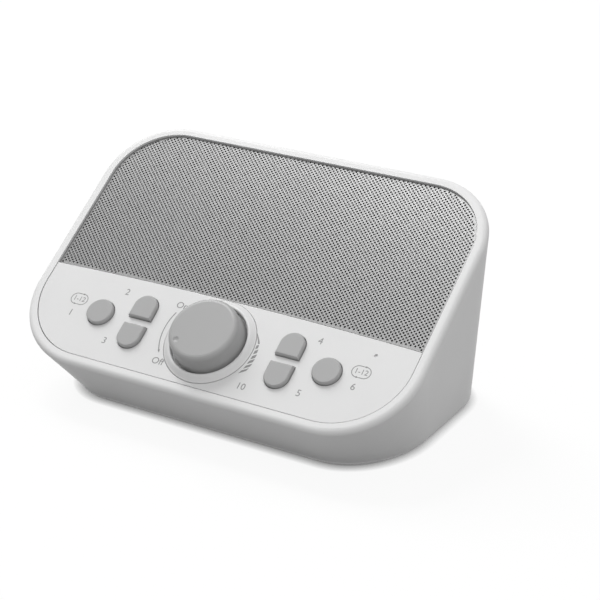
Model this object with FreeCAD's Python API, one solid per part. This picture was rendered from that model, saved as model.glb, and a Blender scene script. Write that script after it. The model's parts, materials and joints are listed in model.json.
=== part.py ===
import FreeCAD, Part
import math
import os
from FreeCAD import Placement, Rotation, Vector

# Table-top sound machine: a wedge-shaped moulded housing with a tilted face that holds a
# perforated speaker grille above a control panel. All sizes are in millimetres. +Z is up,
# the front of the machine is towards -Y, and the origin is on the table under the middle.

# Housing outline
body_width = 160.0          # outer width of the face, over the rim
face_length = 110.0         # outer length of the face along its slope
face_tilt = 36.0            # slope of the face from the horizontal, degrees
face_height = 53.5          # height of the face's middle above the table
top_corner = 27.4           # outer corner radius at the upper end of the face
bottom_corner = 30.7        # outer corner radius at the lower end of the face
base_half_width = 70.8      # half width where the walls meet the base
base_front = 28.1           # base front edge, ahead of the face's middle
base_rear = 64.0            # base rear edge, behind the face's middle
base_front_corner_x = 25.3  # front base corner, quarter ellipse, across
base_front_corner_y = 34.7  # front base corner, quarter ellipse, front to back
base_rear_corner = 26.0     # rear base corner radius
base_clear = 1.0            # height of the base above the table, carried by the feet
wall = 2.6                  # housing wall
rim_round = 2.0             # rounding of the rim's outer edge
rim_band = 2.3              # height of the rim's straight band, with its rounding
base_round = 1.2            # rounding of the housing's lower edge
base_round_steps = 2

# Face: rim, pocket and the ledge under it
rim_width = 3.8             # rim around the pocket
pocket_depth = 2.4          # pocket that holds the panel and the grille
web = 2.0                   # plate under the pocket
seam = 0.3                  # gap around the panel and the grille
panel_drop = 0.2            # panel surface below the rim
grille_drop = 0.9           # grille surface below the rim
panel_length = 40.3         # lower end of the face to the panel's upper edge, at the middle
arch_rise = 1.5             # how far the middle of that edge stands above its ends
ledge = 5.0                 # ledge that carries the panel

# Controls, placed along the face: across, then up the slope
row_distance = 22.8         # lower end of the face to the middle line of the controls
round_button_x = 47.0
round_button_radius = 5.2
pair_x = 30.6               # middle of each pair of D-shaped buttons
d_width = 9.2
d_length = 9.6
pair_gap = 3.0              # web between the two buttons of a pair
button_rise = 1.4           # caps above the rim plane
button_travel = 0.5
button_clear = 0.25         # gap around a cap in the panel
flange_width = 0.9          # flange that keeps a cap behind the panel
flange_thickness = 0.8
flange_gap = 0.15           # flange to the back of the panel
cap_edge = 0.4              # bevel of a cap's edge
post_radius = 1.7           # post from a cap to its switch

# Knob, dish and potentiometer
knob_radius = 12.9          # at the top edge
knob_base_radius = 13.5
knob_top = 8.3              # top of the knob above the rim plane
knob_edge = 1.8             # rounding of the top edge
knob_edge_steps = 4
knob_wall = 2.0
hub_gap = 0.4               # knob's hub above the bushing
knob_hub_radius = 5.2
knob_ribs = 6
knob_rib_width = 1.2
knob_crown = 2.5            # thickness of the knob's top
knob_floor_gap = 0.4        # knob skirt above the dish floor
mark_radius = 1.15          # dimple that marks the knob's pointer
mark_depth = 0.45
mark_distance = 10.0        # dimple from the knob's axis
off_angle = 222.0           # direction of the dimple when switched off, degrees
dish_radius = 17.2
dish_floor_radius = 14.6
dish_depth = 1.1            # below the panel surface
dish_floor = 2.0            # plate under the dish
shaft_radius = 3.0
shaft_clear = 0.05          # shaft in the bushing
shaft_fit = 0.02            # shaft in the knob
shaft_flat = 0.6            # depth of the flat on the shaft
shaft_top = 6.2             # end of the shaft above the rim plane
bushing_radius = 3.5
bushing_top = 1.9
bushing_clear = 0.2
nut_width = 10.0
nut_thickness = 2.0
pot_radius = 8.5
pot_height = 6.2

# Control board under the panel
board_level = -10.0         # top of the control board, from the rim plane
board_thickness = 1.6
board_half_width = 64.0
board_below = 13.3          # board's lower edge below the row of controls
board_above = 14.2          # board's upper edge above it
board_corner = 14.0
panel_post_x = 56.0
panel_post_offsets = (8.2, -8.8)   # posts above and below the row
panel_post_radius = 3.0
screw_radius = 1.1          # shank of the small screws
screw_head_radius = 2.2
screw_head = 1.5
hole_clear = 0.2            # clearance hole around a screw's shank
thread_bite = 0.05          # shank inside its pilot hole
board_screw_length = 6.0
switch_size = 6.0
switch_height = 3.5
plunger_rise = 1.3          # plunger above the switch case
plunger_radius = 1.75
plunger_clear = 0.1
lamp_x = 60.8
lamp_above = 10.7           # lamp above the row of controls
lamp_hole_radius = 0.6
lamp_radius = 1.5
lamp_drop = 0.3             # lamp body below the ledge

# Loudspeaker
driver_margin = 4.45        # frame inside the grille's ends, along the slope
driver_corner = 10.0
driver_border = 3.75        # frame around the round opening in the housing
driver_flange = 1.2
driver_screw_inset = 4.75   # fixing holes in from the frame's edges
basket_border = 3.25        # frame's edge to the top of the basket
basket_foot = 15.0          # inner radius of the basket's floor
basket_depth = 13.0
basket_wall = 1.0
basket_windows = 4
basket_window = 14.0        # width of each window
basket_band = 2.0           # basket left above and below its windows
magnet_radius = 20.0
magnet_height = 10.0
cone_border = 3.25          # basket's rim to the edge of the moving cone
cone_neck_radius = 8.0
cone_depth = 8.0
cone_wall = 0.5
cone_rest = 1.0             # width of the basket's edge that carries the cone
roll_width = 3.0            # rolled edge around the cone
roll_depth = 1.5
cloth_thickness = 0.4
grille_sheet = 0.8
grille_flange = 1.0

# Base: cover, feet, main board and socket
cover_thickness = 2.4
cover_lip = 1.3             # wall left outside the cover's edge
cover_gap = 0.25
cover_boss_radius = 4.0
cover_boss_height = 14.0
cover_boss_insets = ((8.8, 18.1), (16.8, 20.0))     # front: in from side and front; then rear
cover_rib = 2.0
cover_screw_radius = 1.5
cover_screw_head_radius = 2.9
cover_screw_head = 1.4
cover_screw_length = 10.0
cover_recess = 0.3          # cover's underside inside the housing's lower edge
foot_radius = 6.0
foot_recess = 0.8
foot_edge = 0.4
foot_insets = ((20.8, 24.1), (26.8, 10.0))          # in the same way as the bosses
main_board_half_width = 32.0
main_board_front = 22.0
main_board_standoff = 5.0
standoff_radius = 2.5
main_board_hole = 3.5       # fixing holes in from the board's edges
jack_x = 0.0
jack_width = 9.0
jack_height = 11.0
jack_length = 14.0
jack_bore_radius = 2.75
jack_bore_depth = 9.0
jack_pin_radius = 1.0
jack_collar_radius = 4.2    # round nose of the socket in the wall
jack_recess = 0.6           # nose behind the outside of the wall
jack_clear = 0.3

tilt = math.radians(face_tilt)
base_level = base_clear
half_length = face_length / 2
row_level = row_distance - half_length
arch_middle = panel_length - half_length
grille_length = half_length - rim_width - arch_middle
driver_level = arch_middle + grille_length / 2
driver_size = grille_length - 2 * driver_margin
driver_opening = driver_size / 2 - driver_border
driver_screw_offset = driver_size / 2 - driver_screw_inset
basket_top_radius = driver_size / 2 - basket_border
cone_radius = basket_top_radius - cone_border
board_low = row_level - board_below
board_high = row_level + board_above
panel_post_levels = [row_level + offset for offset in panel_post_offsets]
lamp_level = row_level + lamp_above
face_front = -half_length * math.cos(tilt)
middle_y = -(face_front + base_rear) / 2
face_place = Placement(Vector(0, middle_y, face_height), Rotation(Vector(1, 0, 0), face_tilt))
pocket_level = -pocket_depth
web_level = pocket_level - web
panel_back = pocket_level
far = 400.0
nodes = {}


def line(a, b):
    return Part.makeLine(a, b)


def corner(start, pole, end):
    """A quarter round between two square edges, or a quarter ellipse where they differ."""
    radius = start.distanceToPoint(pole)
    if abs(radius - end.distanceToPoint(pole)) < 1e-6:
        centre = start + end - pole
        middle = centre + (pole - centre) * math.sqrt(0.5)
        return Part.Arc(start, middle, end).toShape()
    curve = Part.BezierCurve()
    curve.setPoles([start, pole, end])
    curve.setWeight(2, math.sqrt(0.5))
    return curve.toShape()


def rounded_wire(half_width, low, high, low_corner, high_corner, level):
    """A rectangle whose corners are quarter ellipses, each given as (across, along)."""
    wide = half_width
    places = [(wide, low, low_corner, 1, -1), (wide, high, high_corner, 1, 1),
              (-wide, high, high_corner, -1, 1), (-wide, low, low_corner, -1, -1)]
    arcs = []
    for x, y, (rx, ry), sx, sy in places:
        side = Vector(x, y - sy * ry, level)
        end = Vector(x - sx * rx, y, level)
        pole = Vector(x, y, level)
        arcs.append((end, pole, side) if sx * sy < 0 else (side, pole, end))
    edges = []
    previous = arcs[-1][2]
    for start, pole, end in arcs:
        edges.append(line(previous, start))
        edges.append(corner(start, pole, end))
        previous = end
    return Part.Wire(edges)


def face_wire(inset, level):
    low, high = bottom_corner - inset, top_corner - inset
    return rounded_wire(body_width / 2 - inset, inset - half_length, half_length - inset,
                        (low, low), (high, high), level)


def base_wire(inset, level):
    front = (base_front_corner_x - inset, base_front_corner_y - inset)
    rear = base_rear_corner - inset
    return rounded_wire(base_half_width - inset, middle_y - base_front + inset,
                        middle_y + base_rear - inset, front, (rear, rear), level)


def prism(wire, height):
    return Part.Face(wire).extrude(Vector(0, 0, height))


def plate(wire_at, inset, low, high):
    return prism(wire_at(inset, low), high - low)


def cylinder(radius, x, y, low, high):
    return Part.makeCylinder(radius, high - low, Vector(x, y, low))


def block(x0, x1, y0, y1, z0, z1):
    return Part.makeBox(x1 - x0, y1 - y0, z1 - z0, Vector(x0, y0, z0))


def turned(profile, x=0.0, y=0.0):
    """A solid of revolution from (radius, height) points, about the line at x, y."""
    points = [Vector(r, 0, z) for r, z in profile]
    face = Part.Face(Part.makePolygon(points + points[:1]))
    solid = face.revolve(Vector(0, 0, 0), Vector(0, 0, 1), 360)
    solid.translate(Vector(x, y, 0))
    return solid


def on_face(shape):
    """Carries a shape drawn on the face (across, up the slope, outwards) to its real place."""
    placed = shape.copy()
    placed.Placement = face_place.multiply(placed.Placement)
    return placed


def face_to_world(x, along, out):
    return face_place.multVec(Vector(x, along, out))


def keep(name, shape):
    solid = shape.removeSplitter() if shape.ShapeType != "Compound" else shape
    nodes[name] = solid


def group(shapes):
    return Part.makeCompound(shapes)


def edges_near(shape, test):
    return [edge for edge in shape.Edges if test(edge)]


# Housing

def hollow_wedge(inset):
    top = on_face(face_wire(inset, 0))
    return Part.makeLoft([base_wire(inset, base_level), top], True, True)


def rounded_wedge():
    """The outer form: a rounded rim band on the face, and walls that narrow to the base."""
    sections = []
    for step in range(base_round_steps + 1):
        angle = math.radians(90 * step / base_round_steps)
        sections.append(base_wire(base_round * (1 - math.sin(angle)),
                                  base_level + base_round * (1 - math.cos(angle))))
    sections.append(on_face(face_wire(0, -rim_band)))
    walls = Part.makeLoft(sections, True, True)
    band = plate(face_wire, 0, -rim_band, 0)
    band = band.makeFillet(rim_round, edges_near(band, lambda e: e.BoundBox.ZMin > -0.01))
    return walls.fuse(on_face(band))


def above_face(level):
    return on_face(block(-far, far, -far, far, level, far))


def arch_region(shift):
    """Everything on the face below the panel's curved upper edge, moved up by shift."""
    half = body_width / 2 - rim_width
    radius = (half ** 2 + arch_rise ** 2) / (2 * arch_rise)
    reach = body_width
    drop = radius - math.sqrt(radius ** 2 - reach ** 2)
    top = arch_middle + shift
    left = Vector(-reach, top - drop, -far)
    right = Vector(reach, top - drop, -far)
    arc = Part.Arc(left, Vector(0, top, -far), right).toShape()
    low_right = Vector(reach, -far, -far)
    low_left = Vector(-reach, -far, -far)
    wire = Part.Wire([arc, line(right, low_right), line(low_right, low_left),
                      line(low_left, left)])
    return prism(wire, 2 * far)


def base_spots(insets):
    """Four places on the base: left and right at the front, then left and right at the rear."""
    (front_x, front_y), (rear_x, rear_y) = insets
    rows = ((base_half_width - front_x, middle_y - base_front + front_y),
            (base_half_width - rear_x, middle_y + base_rear - rear_y))
    return [(side * x, y) for x, y in rows for side in (-1, 1)]


def cover_boss_spots():
    return base_spots(cover_boss_insets)


def driver_screw_spots():
    offset = driver_screw_offset
    return [(sx * offset, driver_level + sy * offset) for sx in (-1, 1) for sy in (-1, 1)]


def housing():
    outer = rounded_wedge()
    hollow = hollow_wedge(wall).cut(above_face(web_level))
    shell = outer.cut(hollow)
    shell = shell.cut(on_face(plate(face_wire, rim_width, pocket_level, 20)))
    shell = shell.cut(on_face(cylinder(driver_opening, 0, driver_level, web_level - 1, 0)))
    window = plate(face_wire, rim_width + ledge, web_level - 1, 0).common(arch_region(-ledge))
    shell = shell.cut(on_face(window))
    shell = shell.cut(plate(base_wire, cover_lip, base_level - 1, base_level + cover_thickness))
    seat = base_level + cover_thickness
    for x, y in cover_boss_spots():
        boss = cylinder(cover_boss_radius, x, y, seat, seat + cover_boss_height)
        side = 1 if x > 0 else -1
        reach = side * body_width / 2
        rib = block(min(x, reach), max(x, reach), y - cover_rib / 2, y + cover_rib / 2,
                    seat + cover_thickness, seat + cover_boss_height)
        shell = shell.fuse(boss.fuse(rib.common(hollow_wedge(wall / 2))))
        shell = shell.cut(cylinder(cover_screw_radius, x, y, seat - 1, seat + cover_boss_height - 2))
    for x, along in driver_screw_spots():
        shell = shell.cut(on_face(cylinder(screw_radius, x, along, web_level - 1,
                                           web_level + 0.7 * web)))
    centre = jack_centre()
    shell = shell.cut(along_y(jack_collar_radius + jack_clear, centre.x, centre.z, centre.y - 20, 200))
    return shell


# Control panel

def d_wire(x, upper, grow, level):
    """A button outline with one round end; the flat end faces the other one of its pair."""
    half = d_width / 2
    sign = 1 if upper else -1
    flat = row_level + sign * (pair_gap / 2 - grow)
    turn = row_level + sign * (pair_gap / 2 + d_length - half)
    left = Vector(x - half - grow, flat, level)
    right = Vector(x + half + grow, flat, level)
    left_up = Vector(x - half - grow, turn, level)
    right_up = Vector(x + half + grow, turn, level)
    tip = Vector(x, turn + sign * (half + grow), level)
    arc = Part.Arc(right_up, tip, left_up).toShape()
    return Part.Wire([line(left, right), line(right, right_up), arc, line(left_up, left)])


def round_wire(x, grow, level):
    circle = Part.makeCircle(round_button_radius + grow, Vector(x, row_level, level))
    return Part.Wire([circle])


def button_table():
    """Each button's name, its outline and the place of its post."""
    middle = pair_gap / 2 + d_length / 2
    table = {}
    for side, sign in (("left", -1), ("right", 1)):
        x = sign * round_button_x
        table[f"{side}_round_button"] = (lambda g, z, x=x: round_wire(x, g, z), x, row_level)
        for level, upper in (("upper", True), ("lower", False)):
            px = sign * pair_x
            py = row_level + (middle if upper else -middle)
            wire = lambda g, z, px=px, upper=upper: d_wire(px, upper, g, z)
            table[f"{side}_{level}_button"] = (wire, px, py)
    return table


def dish_cut():
    top = -panel_drop
    floor = top - dish_depth
    return turned([(0, floor), (dish_floor_radius, floor), (dish_radius, top),
                   (dish_radius, 5), (0, 5)], 0, row_level)


def panel_posts():
    return [(side * panel_post_x, y) for side in (-1, 1) for y in panel_post_levels]


def control_panel():
    body = plate(face_wire, rim_width + seam, panel_back, -panel_drop)
    body = body.common(arch_region(0))
    under = -panel_drop - dish_depth - dish_floor
    boss = cylinder(dish_radius, 0, row_level, under, panel_back)
    boss = boss.common(plate(face_wire, rim_width + ledge + seam, under, panel_back))
    body = body.fuse(boss.common(arch_region(-ledge - seam)))
    for x, y in panel_posts():
        body = body.fuse(cylinder(panel_post_radius, x, y, board_level, panel_back))
    body = body.cut(dish_cut())
    body = body.cut(cylinder(bushing_radius + bushing_clear, 0, row_level, under - 1, 5))
    for wire, _, _ in button_table().values():
        body = body.cut(prism(wire(button_clear, -far), 2 * far))
    for x, y in panel_posts():
        body = body.cut(cylinder(screw_radius, x, y, board_level - 1, panel_back - 0.2))
    return body.cut(cylinder(lamp_hole_radius, lamp_x, lamp_level, -far, far))


def button_cap(wire, x, y):
    flange_top = panel_back - flange_gap
    flange_low = flange_top - flange_thickness
    cap = prism(wire(0, flange_top), button_rise - flange_top)
    top = edges_near(cap, lambda e: all(abs(v.Z - button_rise) < 1e-6 for v in e.Vertexes))
    cap = cap.makeChamfer(cap_edge, top)
    flange = prism(wire(flange_width, flange_low), flange_thickness)
    post = cylinder(post_radius, x, y, plunger_top(), flange_low)
    return cap.fuse(flange).fuse(post)


# Switches, knob and potentiometer

def switch_top():
    return board_level + switch_height


def plunger_top():
    return switch_top() + plunger_rise


def switch_well():
    return switch_top() - button_travel - plunger_clear - 0.4


def switch(x, y):
    half = switch_size / 2
    case = block(x - half, x + half, y - half, y + half, board_level, switch_top())
    case = case.makeChamfer(0.3, edges_near(case, lambda e: e.BoundBox.ZMin > switch_top() - 0.01))
    well = cylinder(plunger_radius + plunger_clear, x, y, switch_well(), far)
    return case.cut(well)


def plunger(x, y):
    return cylinder(plunger_radius, x, y, switch_well() + button_travel + plunger_clear,
                    plunger_top())


def shaft_section(grow, low, high):
    body = cylinder(shaft_radius + grow, 0, row_level, low, high)
    flat = row_level + shaft_radius - shaft_flat + grow
    return body.cut(block(-10, 10, flat, flat + 10, bushing_top, far))


def knob():
    skirt_low = -panel_drop - dish_depth + knob_floor_gap
    profile = [(0, skirt_low), (knob_base_radius, skirt_low)]
    for step in range(knob_edge_steps + 1):
        turn = math.radians(90 * step / knob_edge_steps)
        profile.append((knob_radius - knob_edge * (1 - math.cos(turn)),
                        knob_top - knob_edge * (1 - math.sin(turn))))
    body = turned(profile + [(0, knob_top)], 0, row_level)
    ceiling = knob_top - knob_crown
    inside = knob_radius - knob_wall
    hollow = turned([(0, skirt_low - 1), (inside + 0.4, skirt_low - 1), (inside, ceiling),
                     (0, ceiling)], 0, row_level)
    hub_low = bushing_top + hub_gap
    hub = cylinder(knob_hub_radius, 0, row_level, hub_low, ceiling)
    hollow = hollow.cut(hub)
    for step in range(knob_ribs):
        rib = block(0, knob_radius - 1, -knob_rib_width / 2, knob_rib_width / 2, hub_low, ceiling)
        rib.rotate(Vector(0, 0, 0), Vector(0, 0, 1), step * 360 / knob_ribs)
        rib.translate(Vector(0, row_level, 0))
        hollow = hollow.cut(rib)
    body = body.cut(hollow)
    body = body.cut(shaft_section(shaft_fit, hub_low - 1, shaft_top + 0.1))
    angle = math.radians(off_angle)
    sphere_radius = (mark_radius ** 2 + mark_depth ** 2) / (2 * mark_depth)
    spot = Vector(mark_distance * math.cos(angle), row_level + mark_distance * math.sin(angle),
                  knob_top + sphere_radius - mark_depth)
    return body.cut(Part.makeSphere(sphere_radius, spot))


def potentiometer():
    top = board_level + pot_height
    body = cylinder(pot_radius, 0, row_level, board_level, top)
    bushing = cylinder(bushing_radius, 0, row_level, top, bushing_top)
    bore = cylinder(shaft_radius + shaft_clear, 0, row_level, board_level + 2, far)
    return body.fuse(bushing).cut(bore)


def pot_shaft():
    return shaft_section(0, board_level + 2.1, shaft_top)


def pot_nut():
    low = -panel_drop - dish_depth
    radius = nut_width / math.sqrt(3)
    points = []
    for step in range(7):
        angle = math.radians(60 * step)
        points.append(Vector(radius * math.cos(angle), row_level + radius * math.sin(angle), low))
    body = prism(Part.makePolygon(points), nut_thickness)
    return body.cut(cylinder(bushing_radius + 0.02, 0, row_level, low - 1, far))


def control_board():
    body = prism(rounded_wire(board_half_width, board_low, board_high, (board_corner, board_corner),
                              (2, 2), board_level - board_thickness), board_thickness)
    for x, y in panel_posts():
        body = body.cut(cylinder(screw_radius + hole_clear, x, y, -far, far))
    return body


def screw(x, y, seat, length, shank, head_radius, head):
    """A screw driven upwards; its head hangs below the seat."""
    body = cylinder(shank - thread_bite, x, y, seat, seat + length)
    return body.fuse(cylinder(head_radius, x, y, seat - head, seat))


def lamp():
    shoulder = web_level - lamp_drop
    body = cylinder(lamp_radius, lamp_x, lamp_level, board_level, shoulder)
    return body.fuse(cylinder(lamp_hole_radius - 0.1, lamp_x, lamp_level, shoulder,
                              -panel_drop - 0.5))


# Grille and loudspeaker

def grille_area(inset, low, high):
    return plate(face_wire, rim_width + seam + inset, low, high).cut(arch_region(seam + inset))


def grille():
    body = grille_area(0, pocket_level, -grille_drop)
    return body.cut(grille_area(grille_flange, pocket_level - 1, -grille_drop - grille_sheet))


def grille_cloth():
    top = -grille_drop - grille_sheet
    return grille_area(grille_flange + 0.2, top - cloth_thickness, top)


def driver_frame():
    half = driver_size / 2
    level = web_level
    low = level - driver_flange
    round_corner = (driver_corner, driver_corner)
    body = prism(rounded_wire(half, driver_level - half, driver_level + half, round_corner,
                              round_corner, low), driver_flange)
    deep = low - basket_depth
    body = body.fuse(turned([(0, deep), (basket_foot + basket_wall, deep),
                             (basket_top_radius, low), (0, low)], 0, driver_level))
    mouth = cone_radius + cone_rest
    body = body.cut(turned([(0, deep + basket_wall), (basket_foot, deep + basket_wall),
                            (basket_top_radius - basket_wall, low), (mouth, low), (mouth, 0),
                            (0, 0)], 0, driver_level))
    for step in range(basket_windows):
        cut = block(basket_foot - 5, driver_size, -basket_window / 2, basket_window / 2,
                    deep + basket_band, low - basket_band)
        cut.rotate(Vector(0, 0, 0), Vector(0, 0, 1), step * 360 / basket_windows)
        cut.translate(Vector(0, driver_level, 0))
        body = body.cut(cut)
    for x, y in driver_screw_spots():
        body = body.cut(cylinder(screw_radius + hole_clear, x, y, -far, far))
    return body


def driver_magnet():
    top = web_level - driver_flange - basket_depth
    low = top - magnet_height
    return turned([(0, low), (magnet_radius - 4, low), (magnet_radius - 4, low + 2),
                   (magnet_radius, low + 2), (magnet_radius, top - 2), (magnet_radius - 3, top - 2),
                   (magnet_radius - 3, top), (0, top)], 0, driver_level)


def driver_cone():
    """The diaphragm with its rolled edge, and the coil former that carries it."""
    low = web_level - driver_flange
    neck = low - cone_depth
    deep = low - basket_depth + basket_wall
    t = cone_wall
    roll = cone_radius - roll_width / 2
    return turned([(cone_neck_radius - t, deep), (cone_neck_radius, deep), (cone_neck_radius, neck),
                   (cone_radius - roll_width, low - t), (roll, low - roll_depth),
                   (cone_radius, low - t), (cone_radius + 0.6, low - t), (cone_radius + 0.6, low),
                   (cone_radius, low), (roll, low - roll_depth + t), (cone_radius - roll_width, low),
                   (cone_neck_radius - t, neck + t), (0, neck + 3 * t), (0, neck + 2 * t),
                   (cone_neck_radius - 2 * t, neck)], 0, driver_level)


# Base

def base_cover():
    low = base_level + cover_recess
    top = base_level + cover_thickness
    body = plate(base_wire, cover_lip + cover_gap, low, top)
    for x, y in cover_boss_spots():
        body = body.cut(cylinder(cover_screw_radius + hole_clear, x, y, low - 1, top + 1))
        body = body.cut(cylinder(cover_screw_head_radius + cover_gap, x, y, low - 1,
                                 cover_screw_seat()))
    for x, y in foot_spots():
        body = body.cut(cylinder(foot_radius + 0.1, x, y, low - 1, low + foot_recess))
    for x, y in main_board_holes():
        body = body.fuse(cylinder(standoff_radius, x, y, top, top + main_board_standoff))
        body = body.cut(cylinder(screw_radius, x, y, top, top + main_board_standoff + 1))
    return body


def foot_spots():
    return base_spots(foot_insets)


def foot(x, y):
    top = base_level + cover_recess + foot_recess
    return turned([(0, 0), (foot_radius - foot_edge, 0), (foot_radius, foot_edge),
                   (foot_radius, top), (0, top)], x, y)


def cover_screw_seat():
    return base_level + cover_recess + cover_screw_head - hole_clear


def main_board_level():
    return base_level + cover_thickness + main_board_standoff


def jack_centre():
    """The middle of the socket's nose, on the outside of the rear wall at its height."""
    z = main_board_level() + board_thickness + jack_height / 2
    top = face_to_world(0, half_length, 0)
    rear = middle_y + base_rear
    share = (z - base_level) / (top.z - base_level)
    return Vector(jack_x, rear + (top.y - rear) * share, z)


def main_board_rear():
    return jack_centre().y - wall - 1.2


def main_board_holes():
    x = main_board_half_width - main_board_hole
    ys = (middle_y + main_board_front + main_board_hole, main_board_rear() - main_board_hole)
    return [(side * x, y) for side in (-1, 1) for y in ys]


def main_board():
    low = main_board_level()
    body = block(-main_board_half_width, main_board_half_width, middle_y + main_board_front,
                 main_board_rear(), low, low + board_thickness)
    for x, y in main_board_holes():
        body = body.cut(cylinder(screw_radius + hole_clear, x, y, low - 1, low + 5))
    return body


def along_y(radius, x, z, start, end):
    return Part.makeCylinder(radius, end - start, Vector(x, start, z), Vector(0, 1, 0))


def power_socket():
    centre = jack_centre()
    nose = centre.y - jack_recess
    back = main_board_rear() - 0.2
    low = centre.z - jack_height / 2
    body = block(centre.x - jack_width / 2, centre.x + jack_width / 2, back - jack_length, back,
                 low, low + jack_height)
    body = body.fuse(along_y(jack_collar_radius, centre.x, centre.z, back - 1, nose))
    body = body.cut(along_y(jack_bore_radius, centre.x, centre.z, nose - jack_bore_depth, nose + 5))
    pin = along_y(jack_pin_radius, centre.x, centre.z, nose - jack_bore_depth - 1, nose - 1.2)
    return body.fuse(pin)


def board_parts():
    """The sound chip, the amplifier and two capacitors of the main board."""
    low = main_board_level() + board_thickness
    y = middle_y + main_board_front
    chip = block(-22, -10, y + 8, y + 20, low, low + 1.6)
    amplifier = block(12, 18, y + 10, y + 20, low, low + 1.6)
    cans = [cylinder(4, x, y + 27, low, low + 9) for x in (-24, 22)]
    return group([chip, amplifier] + cans)


def main_board_screws():
    top = main_board_level() + board_thickness
    screws = []
    for x, y in main_board_holes():
        body = cylinder(screw_radius - thread_bite, x, y, top - board_screw_length, top)
        screws.append(body.fuse(cylinder(screw_head_radius, x, y, top, top + screw_head)))
    return group(screws)


def build():
    keep("housing", housing())
    keep("control_panel", on_face(control_panel()))
    keep("speaker_grille", on_face(grille()))
    keep("grille_cloth", on_face(grille_cloth()))
    for name, (wire, x, y) in button_table().items():
        keep(name, on_face(button_cap(wire, x, y)))
        keep(name.replace("button", "plunger"), on_face(plunger(x, y)))
        keep(name.replace("button", "switch"), on_face(switch(x, y)))
    keep("volume_knob", on_face(knob()))
    keep("pot_shaft", on_face(pot_shaft()))
    keep("pot_body", on_face(potentiometer()))
    keep("pot_nut", on_face(pot_nut()))
    keep("control_board", on_face(control_board()))
    seat = board_level - board_thickness
    keep("control_board_screws", on_face(group(
        [screw(x, y, seat, board_screw_length, screw_radius, screw_head_radius, screw_head)
         for x, y in panel_posts()])))
    keep("indicator_lamp", on_face(lamp()))
    keep("speaker_frame", on_face(driver_frame()))
    keep("speaker_magnet", on_face(driver_magnet()))
    keep("speaker_cone", on_face(driver_cone()))
    seat = web_level - driver_flange
    keep("speaker_screws", on_face(group(
        [screw(x, y, seat, driver_flange + web / 2, screw_radius, screw_head_radius, screw_head)
         for x, y in driver_screw_spots()])))
    keep("bottom_cover", base_cover())
    keep("cover_screws", group(
        [screw(x, y, cover_screw_seat(), cover_screw_length, cover_screw_radius,
               cover_screw_head_radius, cover_screw_head - cover_recess)
         for x, y in cover_boss_spots()]))
    for side, (x, y) in zip(("left_front", "right_front", "left_rear", "right_rear"), foot_spots()):
        keep(f"{side}_foot", foot(x, y))
    keep("main_board", main_board())
    keep("main_board_parts", board_parts())
    keep("main_board_screws", main_board_screws())
    keep("power_socket", power_socket())


build()
os.makedirs("parts", exist_ok=True)
for name, shape in nodes.items():
    shape.exportStep(f"parts/{name}.step")
    box = shape.BoundBox
    print(f"{name}: {len(shape.Solids)} solid, valid {shape.isValid()}, "
          f"{shape.Volume / 1000:.2f} cm3, z {box.ZMin:.1f} to {box.ZMax:.1f}")
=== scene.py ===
import bpy
import bmesh
import json
import math
from mathutils import Matrix, Quaternion, Vector


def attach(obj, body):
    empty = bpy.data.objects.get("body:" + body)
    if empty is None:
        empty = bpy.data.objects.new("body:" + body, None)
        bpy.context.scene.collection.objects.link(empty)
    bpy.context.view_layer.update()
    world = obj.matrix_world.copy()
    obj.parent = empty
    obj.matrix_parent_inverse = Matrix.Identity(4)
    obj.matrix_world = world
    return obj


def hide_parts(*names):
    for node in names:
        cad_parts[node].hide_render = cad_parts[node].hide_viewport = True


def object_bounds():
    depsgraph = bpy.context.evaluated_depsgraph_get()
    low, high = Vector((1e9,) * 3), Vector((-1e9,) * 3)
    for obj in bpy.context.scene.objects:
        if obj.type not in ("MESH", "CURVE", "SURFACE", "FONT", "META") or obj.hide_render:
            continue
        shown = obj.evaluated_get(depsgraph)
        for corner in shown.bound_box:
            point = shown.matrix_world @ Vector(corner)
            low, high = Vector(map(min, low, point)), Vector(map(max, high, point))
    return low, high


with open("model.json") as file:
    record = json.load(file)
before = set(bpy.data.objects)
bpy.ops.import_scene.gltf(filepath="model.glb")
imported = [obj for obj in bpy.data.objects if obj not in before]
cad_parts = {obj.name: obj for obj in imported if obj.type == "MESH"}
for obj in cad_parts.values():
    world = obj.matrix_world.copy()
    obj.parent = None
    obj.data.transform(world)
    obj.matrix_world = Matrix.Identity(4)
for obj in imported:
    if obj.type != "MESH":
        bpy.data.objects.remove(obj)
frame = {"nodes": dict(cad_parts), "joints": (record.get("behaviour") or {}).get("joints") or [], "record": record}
cadBox = [list(corner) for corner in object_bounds()]
print("frame loaded:", len(frame["nodes"]), "nodes")

mm = 0.001
scene = bpy.context.scene
knobJoint = next(joint for joint in frame["joints"] if joint["name"] == "volume_turn")
faceOut = Vector(knobJoint["axis"]).normalized()
across = Vector((1, 0, 0))
faceUp = faceOut.cross(across)
rowPoint = Vector(knobJoint["pos_m"])  # on the knob's axis, level with the rim
facePlace = Matrix.Translation(rowPoint) @ Matrix((across, faceUp, faceOut)).transposed().to_4x4()
tableLevel = cadBox[0][2]


# Camera at the photograph's viewing angle

cameraView = {
    "place": (0.2874, -0.4842, 0.2701),   # metres, in the object's frame
    "look": (-0.45248, 0.80637, -0.38085),
    "roll": 1.58,                          # degrees
    "lens": 99.53,
    "sensor": 36.0,
}


def makeCamera():
    data = bpy.data.cameras.new("studioCamera")
    camera = bpy.data.objects.new("studioCamera", data)
    scene.collection.objects.link(camera)
    data.lens = cameraView["lens"]
    data.sensor_width = cameraView["sensor"]
    data.clip_start = 0.02
    data.clip_end = 20
    camera.location = cameraView["place"]
    camera.rotation_mode = "QUATERNION"
    level = Vector(cameraView["look"]).to_track_quat("-Z", "Y")
    camera.rotation_quaternion = level @ Quaternion((0, 0, 1), math.radians(cameraView["roll"]))
    scene.camera = camera


makeCamera()
print("camera placed")


# Small helpers for colours, nodes and meshes

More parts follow.
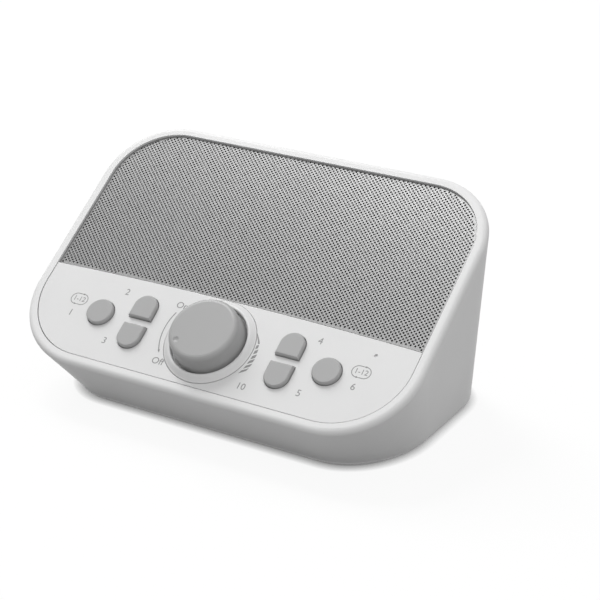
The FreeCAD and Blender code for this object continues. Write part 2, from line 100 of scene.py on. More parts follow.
def hexColour(code):
    values = [int(code[i:i + 2], 16) / 255 for i in (1, 3, 5)]
    return tuple(v / 12.92 if v <= 0.04045 else ((v + 0.055) / 1.055) ** 2.4 for v in values) + (1.0,)


def addNode(tree, kind, inputs=None, **settings):
    node = tree.nodes.new(kind)
    for name, value in settings.items():
        setattr(node, name, value)
    for key, value in (inputs or {}).items():
        socket = node.inputs[key]
        if isinstance(value, bpy.types.NodeSocket):
            tree.links.new(value, socket)
        else:
            socket.default_value = value
    return node


def newMaterial(name):
    material = bpy.data.materials.new(name)
    material.use_nodes = True
    tree = material.node_tree
    tree.nodes.clear()
    shader = addNode(tree, "ShaderNodeBsdfPrincipled")
    addNode(tree, "ShaderNodeOutputMaterial", {"Surface": shader.outputs["BSDF"]})
    return material, tree, shader


def objectPoint(tree):
    place = addNode(tree, "ShaderNodeTexCoord").outputs["Object"]
    return addNode(tree, "ShaderNodeMapping", {"Vector": place}).outputs["Vector"]


def newObject(name, mesh, material=None):
    piece = bpy.data.objects.new(name, mesh)
    scene.collection.objects.link(piece)
    if material:
        mesh.materials.clear()
        mesh.materials.append(material)
    return piece


def meshFrom(name, build):
    bm = bmesh.new()
    build(bm)
    bmesh.ops.recalc_face_normals(bm, faces=bm.faces)
    mesh = bpy.data.meshes.new(name)
    bm.to_mesh(mesh)
    bm.free()
    return mesh


# Materials, each named for the real material and how its surface was made

noiseSpan = {"From Min": 0.3, "From Max": 0.7}   # where nearly all of a noise texture's values lie
cloudSize = 40 * mm                              # slow drift of the plastic's tone
plasticIor = 1.53

def mouldedPlastic(name, colour, roughness, grain, grainDepth, tone=0.02, edge=0.0, metal=0.0):
    material, tree, shader = newMaterial(name)
    base = hexColour(colour)
    point = objectPoint(tree)
    cloud = addNode(tree, "ShaderNodeTexNoise", {"Vector": point, "Scale": 1 / cloudSize, "Detail": 3.0})
    shade = addNode(tree, "ShaderNodeMapRange", {"Value": cloud.outputs["Fac"], **noiseSpan,
                                                 "To Min": 1 - tone, "To Max": 1 + tone})
    tinted = addNode(tree, "ShaderNodeMix", {"Factor": 1.0, "A": base, "B": shade.outputs["Result"]},
                     data_type="RGBA", blend_type="MULTIPLY")
    fine = addNode(tree, "ShaderNodeTexNoise", {"Vector": point, "Scale": 1 / grain, "Detail": 2.0})
    pits = addNode(tree, "ShaderNodeBump", {"Height": fine.outputs["Fac"], "Strength": 1.0,
                                            "Distance": grainDepth})
    gloss = addNode(tree, "ShaderNodeMapRange", {"Value": fine.outputs["Fac"], **noiseSpan,
                                                 "To Min": roughness - 0.04, "To Max": roughness + 0.04})
    tree.links.new(tinted.outputs["Result"], shader.inputs["Base Color"])
    tree.links.new(gloss.outputs["Result"], shader.inputs["Roughness"])
    tree.links.new(pits.outputs["Normal"], shader.inputs["Normal"])
    if edge:
        soft = addNode(tree, "ShaderNodeBevel", {"Radius": edge}, samples=6)
        tree.links.new(soft.outputs["Normal"], pits.inputs["Normal"])
    shader.inputs["IOR"].default_value = plasticIor
    shader.inputs["Metallic"].default_value = metal
    return material


def turnedMetal(name, colour, roughness, lineStep, lineDepth):
    material, tree, shader = newMaterial(name)
    shader.inputs["Metallic"].default_value = 1.0
    shader.inputs["Base Color"].default_value = hexColour(colour)
    point = objectPoint(tree)
    lines = addNode(tree, "ShaderNodeTexNoise", {"Vector": point, "Scale": 1 / lineStep, "Detail": 2.0})
    gloss = addNode(tree, "ShaderNodeMapRange", {"Value": lines.outputs["Fac"], **noiseSpan,
                                                 "To Min": roughness - 0.07, "To Max": roughness + 0.07})
    pits = addNode(tree, "ShaderNodeBump", {"Height": lines.outputs["Fac"], "Strength": 1.0,
                                            "Distance": lineDepth})
    tree.links.new(gloss.outputs["Result"], shader.inputs["Roughness"])
    tree.links.new(pits.outputs["Normal"], shader.inputs["Normal"])
    return material


def wovenCloth(name, colour, thread):
    material, tree, shader = newMaterial(name)
    point = objectPoint(tree)
    weave = []
    for direction in ("X", "Y"):
        wave = addNode(tree, "ShaderNodeTexWave", {"Vector": point, "Scale": 2 * math.pi / (20 * thread),
                                                   "Distortion": 0.4}, bands_direction=direction)
        weave.append(wave.outputs["Fac"])
    product = addNode(tree, "ShaderNodeMath", {0: weave[0], 1: weave[1]}, operation="MULTIPLY")
    tint = addNode(tree, "ShaderNodeMapRange", {"Value": product.outputs["Value"], "To Min": 0.5,
                                                "To Max": 1.4})
    mixed = addNode(tree, "ShaderNodeMix", {"Factor": 1.0, "A": hexColour(colour),
                                            "B": tint.outputs["Result"]},
                    data_type="RGBA", blend_type="MULTIPLY")
    relief = addNode(tree, "ShaderNodeBump", {"Height": product.outputs["Value"], "Strength": 0.6,
                                              "Distance": thread * 0.3})
    tree.links.new(mixed.outputs["Result"], shader.inputs["Base Color"])
    tree.links.new(relief.outputs["Normal"], shader.inputs["Normal"])
    shader.inputs["Roughness"].default_value = 0.95
    return material


whiteAbs = mouldedPlastic("whiteAbsSparkEroded", "#E6E6E6", 0.48, 0.35 * mm, 0.012 * mm)  # fine matte grain
panelAbs = mouldedPlastic("whiteAbsSatinPanel", "#E2E2E2", 0.42, 0.3 * mm, 0.006 * mm,
                          edge=0.3 * mm)  # smoother than the shell, with a softened edge
greyAbs = mouldedPlastic("greyAbsSoftSatin", "#A8A8A8", 0.4, 0.3 * mm, 0.006 * mm,
                         edge=0.4 * mm)  # soft, even sheen
blackNylon = mouldedPlastic("blackNylonMoulded", "#17181A", 0.5, 0.2 * mm, 0.01 * mm)  # dull black
boardResist = mouldedPlastic("greenSolderResist", "#1F5A33", 0.3, 0.25 * mm, 0.01 * mm)  # glossy lacquer
ferrite = mouldedPlastic("pressedFerrite", "#2B2B2C", 0.6, 0.4 * mm, 0.03 * mm)  # dark, sandy grain
conePaper = mouldedPlastic("pressedPaperCone", "#1A1A1A", 0.9, 0.5 * mm, 0.05 * mm)  # felt-like, no sheen
footRubber = mouldedPlastic("siliconeRubberFoot", "#202020", 0.75, 0.4 * mm, 0.02 * mm)  # dull, soft edge
lampResin = mouldedPlastic("diffusedLampResin", "#D8D8D8", 0.35, 0.3 * mm, 0.004 * mm)  # milky, smooth
zincSteel = turnedMetal("zincPlatedSteel", "#BFC0C2", 0.35, 0.4 * mm, 0.004 * mm)  # broken, bright glints
grilleCoat = mouldedPlastic("silverPaintedPerforatedSteel", "#8B8B8B", 0.34, 0.25 * mm, 0.006 * mm,
                            metal=0.65)  # metal flakes in the paint brighten it towards the light
dustCloth = wovenCloth("blackNonWovenDustCloth", "#1B1B1B", 0.5 * mm)  # keeps the holes dark, no sheen
printInk = mouldedPlastic("greyPadPrintInk", "#8E8E8E", 0.55, 0.2 * mm, 0.002 * mm)  # flat grey film

slotMaterials = {
    "white_abs": whiteAbs, "panel_abs": panelAbs, "grey_abs": greyAbs,
    "perforated_steel": grilleCoat, "black_cloth": dustCloth, "black_nylon": blackNylon,
    "circuit_board": boardResist, "zinc_steel": zincSteel, "ferrite": ferrite,
    "paper_cone": conePaper, "rubber": footRubber, "lamp_resin": lampResin,
}


def dressNodes():
    slots = {part["node"]: part["material_slot"] for part in frame["record"]["subparts"]}
    for name, node in frame["nodes"].items():
        node.data.materials.clear()
        node.data.materials.append(slotMaterials[slots[name]])


dressNodes()
print("materials on the frame's nodes")


# Perforated grille, made by Geometry Nodes on the sheet's outline

grille = {
    "width": 151.8, "low": 16.5, "high": 83.3,   # from the control row, up the slope, in mm
    "endDrop": 1.5, "corner": 23.3,
    "stepAcross": 1.76, "stepUp": 1.59,          # staggered rows of holes
    "hole": 0.42, "holeSides": 6, "margin": 0.75,
    "sheet": 0.8, "surface": -0.9,
    "outlineSteps": 24, "weld": 0.005,           # points on each arc; distance at which corners join
    "rayLift": 10.0, "rayLength": 100.0,         # test rays that find the holes inside the outline
    "punchDepth": 4.0,                           # punch length in sheet thicknesses
}


def grilleOutline():
    half = grille["width"] / 2
    low, high, corner = grille["low"], grille["high"], grille["corner"]
    points = []
    steps = grille["outlineSteps"]
    for i in range(steps + 1):
        x = -half + 2 * half * i / steps
        points.append((x, low + grille["endDrop"] * (1 - (x / half) ** 2)))
    for side, start in ((1, 0), (-1, 90)):
        for i in range(steps + 1):
            angle = math.radians(start + 90 * i / steps)
            points.append((side * (half - corner) + corner * math.cos(angle),
                           high - corner + corner * math.sin(angle)))
    return [Vector((x * mm, y * mm, 0)) for x, y in points]


def outlineCurve(name, points):
    data = bpy.data.curves.new(name, "CURVE")
    data.dimensions = "3D"
    spline = data.splines.new("POLY")
    spline.points.add(len(points) - 1)
    for spot, point in zip(spline.points, points):
        spot.co = (*point, 1)
    spline.use_cyclic_u = True
    curve = bpy.data.objects.new(name, data)
    scene.collection.objects.link(curve)
    return curve


def socketIn(tree, name, kind, value=None):
    socket = tree.interface.new_socket(name, in_out="INPUT", socket_type=kind)
    if value is not None:
        socket.default_value = value
    return socket


def perforationTree():
    tree = bpy.data.node_groups.new("perforatedSheet", "GeometryNodeTree")
    socketIn(tree, "Geometry", "NodeSocketGeometry")
    socketIn(tree, "Step Across", "NodeSocketFloat", grille["stepAcross"] * mm)
    socketIn(tree, "Step Up", "NodeSocketFloat", grille["stepUp"] * mm)
    socketIn(tree, "Hole Radius", "NodeSocketFloat", grille["hole"] * mm)
    socketIn(tree, "Edge Margin", "NodeSocketFloat", grille["margin"] * mm)
    socketIn(tree, "Thickness", "NodeSocketFloat", grille["sheet"] * mm)
    socketIn(tree, "Material", "NodeSocketMaterial")
    tree.interface.new_socket("Geometry", in_out="OUTPUT", socket_type="NodeSocketGeometry")
    given = addNode(tree, "NodeGroupInput").outputs
    outline = given["Geometry"]
    columns = int(grille["width"] / grille["stepAcross"]) + 4
    rows = int((grille["high"] - grille["low"]) / grille["stepUp"]) + 6
    middle = (grille["high"] + grille["low"]) / 2 * mm
    filled = addNode(tree, "GeometryNodeFillCurve", {"Curve": outline})
    edge = addNode(tree, "GeometryNodeCurveToMesh", {"Curve": outline}).outputs["Mesh"]
    dots = []
    for shift in (0.0, 0.5):
        spanX = addNode(tree, "ShaderNodeMath", {0: given["Step Across"], 1: float(columns - 1)},
                        operation="MULTIPLY")
        spanY = addNode(tree, "ShaderNodeMath", {0: given["Step Up"], 1: float(rows - 1)},
                        operation="MULTIPLY")
        grid = addNode(tree, "GeometryNodeMeshGrid", {"Size X": spanX.outputs[0], "Size Y": spanY.outputs[0],
                                                      "Vertices X": columns, "Vertices Y": rows})
        moveX = addNode(tree, "ShaderNodeMath", {0: given["Step Across"], 1: shift}, operation="MULTIPLY")
        moveY = addNode(tree, "ShaderNodeMath", {0: given["Step Up"], 1: shift, 2: middle},
                        operation="MULTIPLY_ADD")
        move = addNode(tree, "ShaderNodeCombineXYZ", {"X": moveX.outputs[0], "Y": moveY.outputs[0]})
        placed = addNode(tree, "GeometryNodeSetPosition", {"Geometry": grid.outputs["Mesh"],
                                                           "Offset": move.outputs["Vector"]})
        dots.append(placed.outputs["Geometry"])
    joined = addNode(tree, "GeometryNodeJoinGeometry")
    for dot in dots:
        tree.links.new(dot, joined.inputs["Geometry"])
    spots = addNode(tree, "GeometryNodeMeshToPoints", {"Mesh": joined.outputs["Geometry"]})
    near = addNode(tree, "GeometryNodeProximity", target_element="EDGES")
    tree.links.new(edge, near.inputs[0])
    tooNear = addNode(tree, "FunctionNodeCompare", {0: near.outputs["Distance"], 1: given["Edge Margin"]},
                      data_type="FLOAT", operation="LESS_THAN")
    here = addNode(tree, "GeometryNodeInputPosition").outputs["Position"]
    above = addNode(tree, "ShaderNodeVectorMath", {0: here, 1: (0.0, 0.0, grille["rayLift"] * mm)},
                    operation="ADD")
    hit = addNode(tree, "GeometryNodeRaycast", {"Target Geometry": filled.outputs["Mesh"],
                                                "Source Position": above.outputs["Vector"],
                                                "Ray Direction": (0.0, 0.0, -1.0),
                                                "Ray Length": grille["rayLength"] * mm})
    outside = addNode(tree, "FunctionNodeBooleanMath", {0: hit.outputs["Is Hit"]}, operation="NOT")
    drop = addNode(tree, "FunctionNodeBooleanMath", {0: tooNear.outputs["Result"],
                                                     1: outside.outputs["Boolean"]}, operation="OR")
    kept = addNode(tree, "GeometryNodeDeleteGeometry", {"Geometry": spots.outputs["Points"],
                                                        "Selection": drop.outputs["Boolean"]})
    depth = addNode(tree, "ShaderNodeMath", {0: given["Thickness"], 1: grille["punchDepth"]},
                    operation="MULTIPLY")
    punch = addNode(tree, "GeometryNodeMeshCylinder", {"Vertices": grille["holeSides"],
                                                       "Radius": given["Hole Radius"],
                                                       "Depth": depth.outputs[0]})
    holes = addNode(tree, "GeometryNodeInstanceOnPoints", {"Points": kept.outputs["Geometry"],
                                                           "Instance": punch.outputs["Mesh"]})
    everyHole = addNode(tree, "GeometryNodeRealizeInstances", {"Geometry": holes.outputs["Instances"]})
    rise = addNode(tree, "ShaderNodeCombineXYZ", {"Z": given["Thickness"]})
    pulled = addNode(tree, "GeometryNodeExtrudeMesh", {"Mesh": filled.outputs["Mesh"], "Individual": False,
                                                       "Offset": rise.outputs["Vector"],
                                                       "Offset Scale": 1.0}, mode="FACES")
    under = addNode(tree, "GeometryNodeFlipFaces", {"Mesh": filled.outputs["Mesh"]})
    closed = addNode(tree, "GeometryNodeJoinGeometry")
    tree.links.new(pulled.outputs["Mesh"], closed.inputs["Geometry"])
    tree.links.new(under.outputs["Mesh"], closed.inputs["Geometry"])
    plate = addNode(tree, "GeometryNodeMergeByDistance", {"Geometry": closed.outputs["Geometry"],
                                                          "Distance": grille["weld"] * mm})
    punched = addNode(tree, "GeometryNodeMeshBoolean", operation="DIFFERENCE", solver="MANIFOLD")
    tree.links.new(plate.outputs["Geometry"], punched.inputs["Mesh 1"])
    tree.links.new(everyHole.outputs["Geometry"], punched.inputs["Mesh 2"])
    plain = addNode(tree, "GeometryNodeRealizeInstances", {"Geometry": punched.outputs["Mesh"]})
    painted = addNode(tree, "GeometryNodeSetMaterial", {"Geometry": plain.outputs["Geometry"],
                                                        "Material": given["Material"]})
    output = addNode(tree, "NodeGroupOutput")
    tree.links.new(painted.outputs["Geometry"], output.inputs["Geometry"])
    return tree


def treeResult(name, carrier, tree, values):
    modifier = carrier.modifiers.new(name, "NODES")
    modifier.node_group = tree
    sockets = {item.name: item.identifier for item in tree.interface.items_tree
               if item.item_type == "SOCKET" and item.in_out == "INPUT"}
    for key, value in values.items():
        modifier[sockets[key]] = value
    shown = carrier.evaluated_get(bpy.context.evaluated_depsgraph_get())
    mesh = bpy.data.meshes.new_from_object(shown)
    mesh.name = name
    bpy.data.objects.remove(carrier)
    return mesh


def makeGrille():
    outline = outlineCurve("grilleOutline", grilleOutline())
    mesh = treeResult("perforatedGrille", outline, perforationTree(), {"Material": grilleCoat})
    bottom = grille["surface"] - grille["sheet"]
    mesh.transform(facePlace @ Matrix.Translation((0, 0, bottom * mm)))
    piece = newObject("perforatedGrille", mesh)
    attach(piece, "cabinet")
    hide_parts("speaker_grille")
    triangles = sum(len(p.vertices) - 2 for p in mesh.polygons)
    print("grille:", len(mesh.polygons), "faces", triangles, "triangles")


makeGrille()


# Dust cloth stretched behind the grille

cloth = {"inset": 1.2, "below": -2.0, "thickness": 0.15}   # mm; level from the rim plane


def insetOutline(points, distance):
    moved = []
    for i, point in enumerate(points):
        along = (points[(i + 1) % len(points)] - points[i - 1]).normalized()
        moved.append(point + Vector((-along.y, along.x, 0)) * distance)
    return moved


def makeCloth():
    points = insetOutline(grilleOutline(), cloth["inset"] * mm)

    def build(bm):
        top = [bm.verts.new(p) for p in points]
        sheetFace = bm.faces.new(top)
        pulled = bmesh.ops.extrude_face_region(bm, geom=[sheetFace])
        lower = [v for v in pulled["geom"] if isinstance(v, bmesh.types.BMVert)]
        bmesh.ops.translate(bm, verts=lower, vec=(0, 0, -cloth["thickness"] * mm))
        bm.transform(facePlace @ Matrix.Translation((0, 0, cloth["below"] * mm)))
    piece = newObject("dustCloth", meshFrom("dustCloth", build), dustCloth)
    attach(piece, "cabinet")
    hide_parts("grille_cloth")


makeCloth()
print("dust cloth stretched")


# Raised collar around the knob's foot; it also hides the dish in the panel below it

collar = {
    # radius and height above the rim plane, in mm, from the outside over the top to the inside
    "profile": ((17.4, -0.2), (17.0, -0.08), (16.6, 0.2), (16.0, 0.85), (15.55, 1.3), (15.2, 1.52),
                (14.8, 1.6), (14.45, 1.52), (14.3, 1.3), (14.25, -1.28), (14.3, -1.3), (14.6, -1.3),
                (17.2, -0.22)),
    "sides": 128,
}


def makeCollar():
    sides = collar["sides"]

    def build(bm):
        rings = []
        for radius, level in collar["profile"]:
            ring = []
            for i in range(sides):
                angle = 2 * math.pi * i / sides
                ring.append(bm.verts.new((radius * mm * math.cos(angle), radius * mm * math.sin(angle),
                                          level * mm)))
            rings.append(ring)
        for low, high in zip(rings, rings[1:] + rings[:1]):
            for i in range(sides):
                j = (i + 1) % sides
                bm.faces.new((low[i], low[j], high[j], high[i]))
        bm.transform(facePlace)
    mesh = meshFrom("knobCollar", build)
    mesh.shade_smooth()
    piece = newObject("knobCollar", mesh, panelAbs)
    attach(piece, "cabinet")


makeCollar()
print("collar made")


# Cover screws with cross recesses, set out by Geometry Nodes

coverScrews = {
    "places": ((62.0, -19.752), (-62.0, -19.752), (54.0, 34.248), (-54.0, 34.248)),   # in mm
    "seat": 2.5, "headRadius": 2.9, "head": 1.1, "shankRadius": 1.45, "shank": 9.5,
    "slotLength": 3.2, "slotWidth": 0.7, "slotDepth": 0.7,
    "overlap": 0.499,                            # share of the shank above the seat, so that it meets the head
    "headSides": 48, "shankSides": 32,
}


def screwTree():
    tree = bpy.data.node_groups.new("crossScrew", "GeometryNodeTree")
    socketIn(tree, "Geometry", "NodeSocketGeometry")
    socketIn(tree, "Head Radius", "NodeSocketFloat", coverScrews["headRadius"] * mm)
    socketIn(tree, "Head Height", "NodeSocketFloat", coverScrews["head"] * mm)
    socketIn(tree, "Shank Radius", "NodeSocketFloat", coverScrews["shankRadius"] * mm)
    socketIn(tree, "Shank Length", "NodeSocketFloat", coverScrews["shank"] * mm)
    slotSize = [coverScrews[side] * mm for side in ("slotLength", "slotWidth", "slotDepth")]
    socketIn(tree, "Slot", "NodeSocketVector", slotSize)
    socketIn(tree, "Material", "NodeSocketMaterial")
    tree.interface.new_socket("Geometry", in_out="OUTPUT", socket_type="NodeSocketGeometry")
    given = addNode(tree, "NodeGroupInput").outputs

    def times(value, share):
        return addNode(tree, "ShaderNodeMath", {0: value, 1: share}, operation="MULTIPLY").outputs[0]

    def moved(mesh, level):
        offset = addNode(tree, "ShaderNodeCombineXYZ", {"Z": level})
        return addNode(tree, "GeometryNodeTransform", {"Geometry": mesh,
                                                       "Translation": offset.outputs["Vector"]}).outputs[0]

    def joined(*parts):
        node = addNode(tree, "GeometryNodeJoinGeometry")
        for part in parts:
            tree.links.new(part, node.inputs["Geometry"])
        return node.outputs["Geometry"]

    def cutFrom(mesh, tool):
        cut = addNode(tree, "GeometryNodeMeshBoolean", operation="DIFFERENCE", solver="MANIFOLD")
        tree.links.new(mesh, cut.inputs["Mesh 1"])
        tree.links.new(tool, cut.inputs["Mesh 2"])
        return cut.outputs["Mesh"]

    head = addNode(tree, "GeometryNodeMeshCylinder", {"Vertices": coverScrews["headSides"],
                                                      "Radius": given["Head Radius"],
                                                      "Depth": given["Head Height"]})
    shank = addNode(tree, "GeometryNodeMeshCylinder", {"Vertices": coverScrews["shankSides"],
                                                       "Radius": given["Shank Radius"],
                                                       "Depth": given["Shank Length"]})
    bar = addNode(tree, "GeometryNodeMeshCube", {"Size": given["Slot"]}).outputs["Mesh"]
    turned = addNode(tree, "GeometryNodeTransform", {"Geometry": bar, "Rotation": (0, 0, math.pi / 2)})
    level = times(given["Head Height"], -1.0)
    crossed = cutFrom(cutFrom(moved(head.outputs["Mesh"], times(given["Head Height"], -0.5)),
                              moved(bar, level)), moved(turned.outputs["Geometry"], level))
    screw = joined(crossed, moved(shank.outputs["Mesh"], times(given["Shank Length"], coverScrews["overlap"])))
    spots = addNode(tree, "GeometryNodeMeshToPoints", {"Mesh": given["Geometry"]})
    placed = addNode(tree, "GeometryNodeInstanceOnPoints", {"Points": spots.outputs["Points"],
                                                            "Instance": screw})
    real = addNode(tree, "GeometryNodeRealizeInstances", {"Geometry": placed.outputs["Instances"]})
    plated = addNode(tree, "GeometryNodeSetMaterial", {"Geometry": real.outputs["Geometry"],
                                                       "Material": given["Material"]})
    output = addNode(tree, "NodeGroupOutput")
    tree.links.new(plated.outputs["Geometry"], output.inputs["Geometry"])
    return tree


def makeCoverScrews():
    carrier = bpy.data.meshes.new("screwPlaces")
    seats = [(x * mm, y * mm, coverScrews["seat"] * mm) for x, y in coverScrews["places"]]
    carrier.from_pydata(seats, [], [])
    mesh = treeResult("crossRecessScrews", newObject("screwPlaces", carrier), screwTree(),
                      {"Material": zincSteel})
    piece = newObject("crossRecessScrews", mesh)
    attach(piece, "cabinet")
    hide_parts("cover_screws")


makeCoverScrews()
print("cover screws:", len(bpy.data.meshes["crossRecessScrews"].polygons), "faces")


# Printed marks on the panel: thin closed ink shapes

marks = {
    "surface": -0.2, "ink": 0.03, "stroke": 0.36,
    "cycleX": 58.6, "cycleUp": 3.3, "cycleWidth": 7.0, "cycleHeight": 4.5,
    "switchArc": (157.0, 19.9, 207.0, 19.0),          # start angle and radius, then the end's
    "switchArrow": 0.85, "cycleArrow": 0.75, "cycleStroke": 0.8, "cycleGap": 0.9, "cycleLap": 0.1,
    "arrowSpread": 140, "arrowBack": 0.75,
    "wedge": (31.0, 16.85, 12.0, 18.1, 0.75),         # the same, and its width at the wide end
    "wedgeTip": 0.06, "letterScale": 1.38, "weld": 0.001,
    "blockSlant": 35.0, "blockDepth": 1.45,
    "blocks": ((8.2, 18.25, 1.0), (1.8, 18.5, 1.35), (-4.5, 18.75, 1.7), (-10.5, 18.9, 2.05),
               (-16.6, 19.15, 2.4), (-23.2, 19.25, 2.8)),   # angle, radius, length
}


def inkShape(bm, outline):
    low = [bm.verts.new(facePlace @ Vector((x * mm, y * mm, marks["surface"] * mm))) for x, y in outline]
    top = (marks["surface"] + marks["ink"]) * mm
    high = [bm.verts.new(facePlace @ Vector((x * mm, y * mm, top))) for x, y in outline]
    bm.faces.new(high)
    bm.faces.new(low[::-1])
    for i in range(len(low)):
        j = (i + 1) % len(low)
        bm.faces.new((low[i], low[j], high[j], high[i]))


def strokeShape(bm, path, width):
    left, right = [], []
    for i, (x, y) in enumerate(path):
        x0, y0 = path[max(i - 1, 0)]
        x1, y1 = path[min(i + 1, len(path) - 1)]
        length = math.hypot(x1 - x0, y1 - y0)
        nx, ny = -(y1 - y0) / length, (x1 - x0) / length
        half = width / 2
        left.append((x + nx * half, y + ny * half))
        right.append((x - nx * half, y - ny * half))
    inkShape(bm, left + right[::-1])


def arcPath(cx, cy, radius, start, end, steps=32, endRadius=None):
    path = []
    for i in range(steps + 1):
        angle = math.radians(start + (end - start) * i / steps)
        reach = radius + ((endRadius or radius) - radius) * i / steps
        path.append((cx + reach * math.cos(angle), cy + reach * math.sin(angle)))
    return path


def arrowHead(bm, x, y, angle, size):
    points = []
    back, spread = marks["arrowBack"], marks["arrowSpread"]
    for turn, reach in ((0, 1.0), (spread, back), (-spread, back)):
        a = math.radians(angle + turn)
        points.append((x + size * reach * math.cos(a), y + size * reach * math.sin(a)))
    inkShape(bm, points)


def cycleMark(bm, x, y):
    half = marks["cycleHeight"] / 2
    flat = marks["cycleWidth"] / 2 - half
    stroke = marks["stroke"] * marks["cycleStroke"]
    gap, lap, arrow = marks["cycleGap"], marks["cycleLap"], marks["cycleArrow"]
    upper = [(x + gap, y + half), (x + flat, y + half)] + arcPath(x + flat, y, half, 90, -90, 20)[1:]
    upper += [(x - lap, y - half)]
    lower = [(x - gap, y - half), (x - flat, y - half)] + arcPath(x - flat, y, half, 270, 90, 20)[1:]
    lower += [(x + lap, y + half)]
    for path in (upper, lower):
        strokeShape(bm, path, stroke)
    arrowHead(bm, x + arrow, y + half, 180, arrow)
    arrowHead(bm, x - arrow, y - half, 0, arrow)


def drawMarks(bm):
    for side in (-1, 1):
        cycleMark(bm, side * marks["cycleX"], marks["cycleUp"])
    start, radius, end, endRadius = marks["switchArc"]
    strokeShape(bm, arcPath(0, 0, radius, start, end, endRadius=endRadius), marks["stroke"])
    turn = math.radians(end)
    arrowHead(bm, endRadius * math.cos(turn), endRadius * math.sin(turn), end + 90,
              marks["switchArrow"])
    start, radius, end, endRadius, width = marks["wedge"]
    near = arcPath(0, 0, radius, start, end, 16, endRadius)
    far = arcPath(0, 0, radius + marks["wedgeTip"], start, end, 16, endRadius + width)
    inkShape(bm, near + far[::-1])
    slant = math.radians(marks["blockSlant"])
    for angle, radius, length in marks["blocks"]:
        a = math.radians(angle)
        centre = Vector((radius * math.cos(a), radius * math.sin(a)))
        long = Vector((math.cos(slant), math.sin(slant))) * length / 2
        deep = Vector((-math.sin(a), math.cos(a))) * marks["blockDepth"] / 2
        corners = ((-1, -1), (1, -1), (1, 1), (-1, 1))
        inkShape(bm, [tuple(centre + r * long + t * deep) for r, t in corners])


lettering = (
    # words, size in mm, place across and up from the control row
    ("1-12", 2.1, -58.6, 3.3), ("1-12", 2.1, 58.6, 3.3),
    ("1", 2.7, -59.0, -2.9), ("2", 2.7, -41.2, 10.8), ("3", 2.7, -39.6, -10.4),
    ("4", 2.7, 39.4, 10.8), ("5", 2.7, 40.8, -10.4), ("6", 2.7, 58.2, -2.9),
    ("On", 2.7, -17.4, 10.9), ("Off", 2.7, -15.2, -12.7), ("10", 2.6, 19.6, -13.6),
)


def letterMesh(text, size, x, y):
    data = bpy.data.curves.new("letters", "FONT")
    data.body = text
    data.size = size * mm * marks["letterScale"]
    data.align_x = "CENTER"
    data.align_y = "CENTER"
    data.extrude = marks["ink"] / 2 * mm
    data.resolution_u = 4
    letters = bpy.data.objects.new("letters", data)
    scene.collection.objects.link(letters)
    shown = letters.evaluated_get(bpy.context.evaluated_depsgraph_get())
    mesh = bpy.data.meshes.new_from_object(shown)
    lift = (marks["surface"] + marks["ink"] / 2) * mm
    mesh.transform(facePlace @ Matrix.Translation((x * mm, y * mm, lift)))
    bpy.data.objects.remove(letters)
    return mesh


def makeMarks():
    def build(bm):
        drawMarks(bm)
        for text, size, x, y in lettering:
            bm.from_mesh(letterMesh(text, size, x, y))
        bmesh.ops.remove_doubles(bm, verts=bm.verts, dist=marks["weld"] * mm)
    piece = newObject("printedMarks", meshFrom("printedMarks", build), printInk)
    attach(piece, "cabinet")


makeMarks()
print("panel marks printed")


# Floor with a painted contact shadow, lights and backdrop

studio = {
    "floorSize": 6.0, "floorTone": "#8C8C8C", "shadowShare": 0.9,
    "floorDrop": 0.03 * mm,                        # keeps the feet's soles clear of the paper
    # reach and strength of the painted contact shadow: ambient occlusion darkens the floor's white near the object
    "paintedShadowReach": 3.5 * mm, "paintedShadowPower": 0.8,
    "worldTone": 0.55, "lampAim": (0, 0, 0.04),
}


def cameraSees(tree):
    path = addNode(tree, "ShaderNodeLightPath")
    first = addNode(tree, "ShaderNodeMath", {0: path.outputs["Is Camera Ray"],
                                             1: path.outputs["Is Glossy Ray"]}, operation="MAXIMUM")
    return addNode(tree, "ShaderNodeMath", {0: first.outputs[0], 1: path.outputs["Is Transmission Ray"]},
                   operation="MAXIMUM").outputs[0]


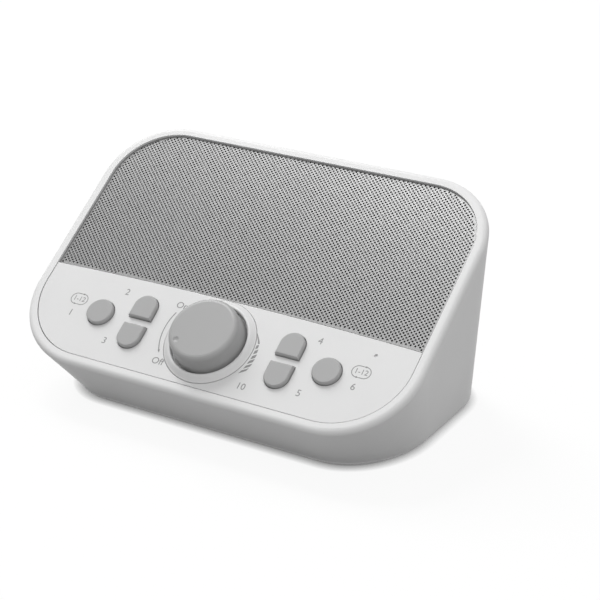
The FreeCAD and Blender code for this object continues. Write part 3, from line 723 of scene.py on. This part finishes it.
def makeFloor():
    half = studio["floorSize"] / 2
    level = tableLevel - studio["floorDrop"]
    mesh = bpy.data.meshes.new("floor")
    mesh.from_pydata([(-half, -half, level), (half, -half, level), (half, half, level),
                      (-half, half, level)], [], [(0, 1, 2, 3)])
    material = bpy.data.materials.new("matteStudioPaper")
    material.use_nodes = True
    tree = material.node_tree
    tree.nodes.clear()
    seen = cameraSees(tree)
    tone = addNode(tree, "ShaderNodeMix", {"Factor": seen, "A": hexColour(studio["floorTone"]),
                                           "B": (1.0, 1.0, 1.0, 1.0)}, data_type="RGBA")
    paper = addNode(tree, "ShaderNodeBsdfDiffuse", {"Color": tone.outputs["Result"]})
    # painted contact shadow: ambient occlusion darkens the white the camera sees on the floor near the object
    nearby = addNode(tree, "ShaderNodeAmbientOcclusion", {"Distance": studio["paintedShadowReach"]}, samples=8)
    paintedContactShadow = addNode(tree, "ShaderNodeMath", {0: nearby.outputs["AO"], 1: studio["paintedShadowPower"]},
                      operation="POWER")
    white = addNode(tree, "ShaderNodeEmission", {"Color": paintedContactShadow.outputs[0], "Strength": 1.0})
    share = addNode(tree, "ShaderNodeMath", {0: seen, 1: studio["shadowShare"]}, operation="MULTIPLY")
    mixed = addNode(tree, "ShaderNodeMixShader", {0: share.outputs[0], 1: paper.outputs[0],
                                                  2: white.outputs[0]})
    below = addNode(tree, "ShaderNodeNewGeometry")
    clear = addNode(tree, "ShaderNodeBsdfTransparent")
    oneSided = addNode(tree, "ShaderNodeMixShader", {0: below.outputs["Backfacing"], 1: mixed.outputs[0],
                                                     2: clear.outputs[0]})
    addNode(tree, "ShaderNodeOutputMaterial", {"Surface": oneSided.outputs[0]})
    floor = newObject("floor", mesh, material)


def makeWorld():
    world = bpy.data.worlds.new("studioWorld")
    world.use_nodes = True
    scene.world = world
    tree = world.node_tree
    tree.nodes.clear()
    dim = addNode(tree, "ShaderNodeBackground", {"Color": (1, 1, 1, 1), "Strength": studio["worldTone"]})
    white = addNode(tree, "ShaderNodeBackground", {"Color": (1, 1, 1, 1), "Strength": 1.0})
    mixed = addNode(tree, "ShaderNodeMixShader", {0: cameraSees(tree), 1: dim.outputs[0],
                                                  2: white.outputs[0]})
    addNode(tree, "ShaderNodeOutputWorld", {"Surface": mixed.outputs[0]})


softLights = (
    # name, place, size, power in watts
    ("keyLight", (-1.0, 0.5, 1.3), 0.8, 10.0),
    ("sheenLight", (-0.5, 0.2, 1.5), 0.35, 5.0),
    ("fillLight", (0.9, -1.0, 1.1), 1.2, 4.5),
)


def makeLights():
    for name, place, size, power in softLights:
        data = bpy.data.lights.new(name, "AREA")
        data.size = size
        data.energy = power
        lamp = bpy.data.objects.new(name, data)
        scene.collection.objects.link(lamp)
        lamp.location = place
        lamp.rotation_mode = "QUATERNION"
        lamp.rotation_quaternion = (Vector(studio["lampAim"]) - Vector(place)).to_track_quat("-Z", "Y")


makeFloor()
makeWorld()
makeLights()
scene.view_settings.view_transform = "Standard"
print("studio ready")
